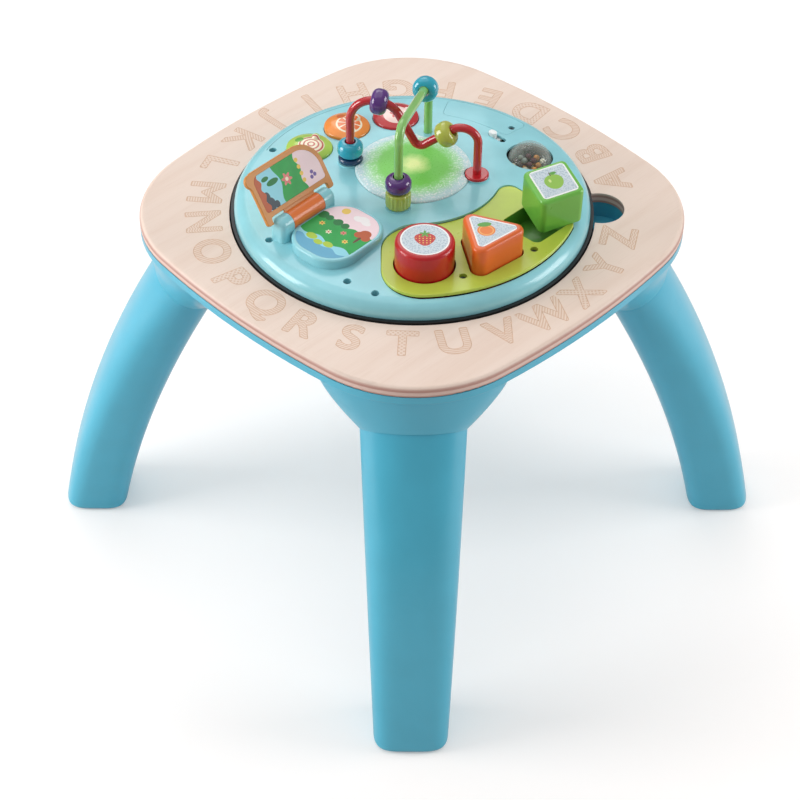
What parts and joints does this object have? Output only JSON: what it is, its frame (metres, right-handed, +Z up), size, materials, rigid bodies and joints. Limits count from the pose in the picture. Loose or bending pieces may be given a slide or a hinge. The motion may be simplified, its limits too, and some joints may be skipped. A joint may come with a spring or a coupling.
{
  "type": "activity table",
  "caption": "Low wooden play table on bowed plastic legs, with a lift-out round panel of bead maze, shape sorter, flip page, push buttons, rattle ball and light.",
  "frame": {"origin": "on the floor, below the middle of the table top", "axes": "+Z up, +X to the right leg and the finger notch, -Y to the front leg"},
  "size_m": [0.7496, 0.7496, 0.5083],
  "materials": {
    "wood": "satin lacquered birch ply",
    "tray_blue": "satin moulded plastic",
    "shell_blue": "satin moulded plastic",
    "black": "matt moulded plastic",
    "steel": "plain",
    "lens": "frosted",
    "board": "solder mask",
    "speaker": "paper cone and steel",
    "cell": "printed sleeve",
    "contact": "plated",
    "button_green": "gloss",
    "button_orange": "gloss",
    "button_red": "gloss",
    "mat": "matt",
    "page": "satin",
    "barrel": "satin",
    "print": "printed sheet",
    "lime": "satin",
    "block_red": "satin",
    "block_orange": "satin",
    "block_green": "satin",
    "clear": "clear plastic",
    "rattle": "gloss",
    "white": "satin",
    "wire_red": "coated",
    "wire_green": "coated",
    "bead_teal": "gloss",
    "bead_navy": "gloss",
    "bead_purple": "gloss",
    "bead_olive": "gloss",
    "bead_lime": "clear tint"
  },
  "bodies": {
    "table": {"table_top": "wood", "table_tray": "tray_blue", "leg_front": "tray_blue", "leg_right": "tray_blue", "leg_back": "tray_blue", "leg_left": "tray_blue", "leg_screws": "steel", "top_screws": "steel"},
    "panel": {"panel_base": "black", "panel_shell": "shell_blue", "panel_screws": "steel", "light_lens": "lens", "led_board": "board", "main_board": "board", "speaker": "speaker", "battery_box": "black", "battery_cells": "cell", "battery_contacts": "contact", "battery_cover": "shell_blue", "cover_screw": "steel", "button_mat": "mat", "page_pin": "steel", "book_picture": "print", "sorter_tray": "lime", "tray_screws": "steel", "ball_cradle": "black", "slide_switch": "black", "red_wire": "wire_red", "green_wire": "wire_green", "maze_nuts": "steel"},
    "page": {"page_leaf": "page", "page_barrel": "barrel", "page_pictures": "print"},
    "ball": {"ball_half_a": "clear", "ball_half_b": "clear", "ball_beads": "rattle"},
    "button_green": {"button_green": "button_green"},
    "button_orange": {"button_orange": "button_orange"},
    "button_red": {"button_red": "button_red"},
    "block_red": {"block_red": "block_red"},
    "block_orange": {"block_orange": "block_orange"},
    "block_green": {"block_green": "block_green"},
    "mode_slider": {"mode_slider": "white"},
    "bead_teal_low": {"bead_teal_low": "bead_teal"},
    "bead_navy": {"bead_navy": "bead_navy"},
    "bead_purple_arch": {"bead_purple_arch": "bead_purple"},
    "bead_olive": {"bead_olive": "bead_olive"},
    "bead_purple_front": {"bead_purple_front": "bead_purple"},
    "bead_lime": {"bead_lime": "bead_lime"},
    "bead_teal_back": {"bead_teal_back": "bead_teal"}
  },
  "joints": [
    {"name": "panel_lift", "type": "slide", "parent": "table", "child": "panel", "axis": [0, 0, 1], "range_m": [0, 0.1]},
    {"name": "page_turn", "type": "hinge", "parent": "panel", "child": "page", "pos_m": [-0.106, -0.054, 0.426], "axis": [0.6691, 0.7431, 0], "range_deg": [0, 121]},
    {"name": "press_green", "type": "slide", "parent": "panel", "child": "button_green", "axis": [0, 0, -1], "range_m": [0, 0.0025], "stiffness_N_per_m": 400, "springref_m": -0.001},
    {"name": "press_orange", "type": "slide", "parent": "panel", "child": "button_orange", "axis": [0, 0, -1], "range_m": [0, 0.0025], "stiffness_N_per_m": 400, "springref_m": -0.001},
    {"name": "press_red", "type": "slide", "parent": "panel", "child": "button_red", "axis": [0, 0, -1], "range_m": [0, 0.0025], "stiffness_N_per_m": 400, "springref_m": -0.001},
    {"name": "ball_spin", "type": "hinge", "parent": "panel", "child": "ball", "pos_m": [0.1186, 0.0569, 0.403], "axis": [-0.4326, 0.9016, 0], "continuous": true},
    {"name": "mode_slide", "type": "slide", "parent": "panel", "child": "mode_slider", "axis": [0.7133, -0.7009, 0], "range_m": [0, 0.012]},
    {"name": "lift_red", "type": "slide", "parent": "panel", "child": "block_red", "axis": [0, 0, 1], "range_m": [0, 0.06]},
    {"name": "lift_orange", "type": "slide", "parent": "panel", "child": "block_orange", "axis": [0, 0, 1], "range_m": [0, 0.06]},
    {"name": "lift_green", "type": "slide", "parent": "panel", "child": "block_green", "axis": [-0.005, -0.1901, 0.9817], "range_m": [0, 0.06]},
    {"name": "slide_teal_low", "type": "slide", "parent": "panel", "child": "bead_teal_low", "axis": [0, 0, 1], "range_m": [0, 0.01]},
    {"name": "slide_navy", "type": "slide", "parent": "panel", "child": "bead_navy", "axis": [0, 0, 1], "range_m": [0, 0.01]},
    {"name": "arch_purple", "type": "hinge", "parent": "panel", "child": "bead_purple_arch", "pos_m": [-0.0363, 0.03625, 0.4665], "axis": [-0.1908, -0.9816, 0], "range_deg": [-34, 55]},
    {"name": "slide_olive", "type": "slide", "parent": "panel", "child": "bead_olive", "axis": [-0.7735, 0.1504, -0.6157], "range_m": [0, 0.016]},
    {"name": "slide_purple_front", "type": "slide", "parent": "panel", "child": "bead_purple_front", "axis": [0, 0, 1], "range_m": [0, 0.03]},
    {"name": "slide_lime", "type": "slide", "parent": "panel", "child": "bead_lime", "axis": [0, 0, 1], "range_m": [0, 0.03]},
    {"name": "slide_teal_back", "type": "slide", "parent": "panel", "child": "bead_teal_back", "axis": [-0.235, -0.9427, 0.2368], "range_m": [0, 0.075]}
  ],
  "couplings": [
    {"joint": "slide_navy", "follows": "slide_teal_low", "ratio": 1},
    {"joint": "slide_lime", "follows": "slide_purple_front", "ratio": 1}
  ]
}
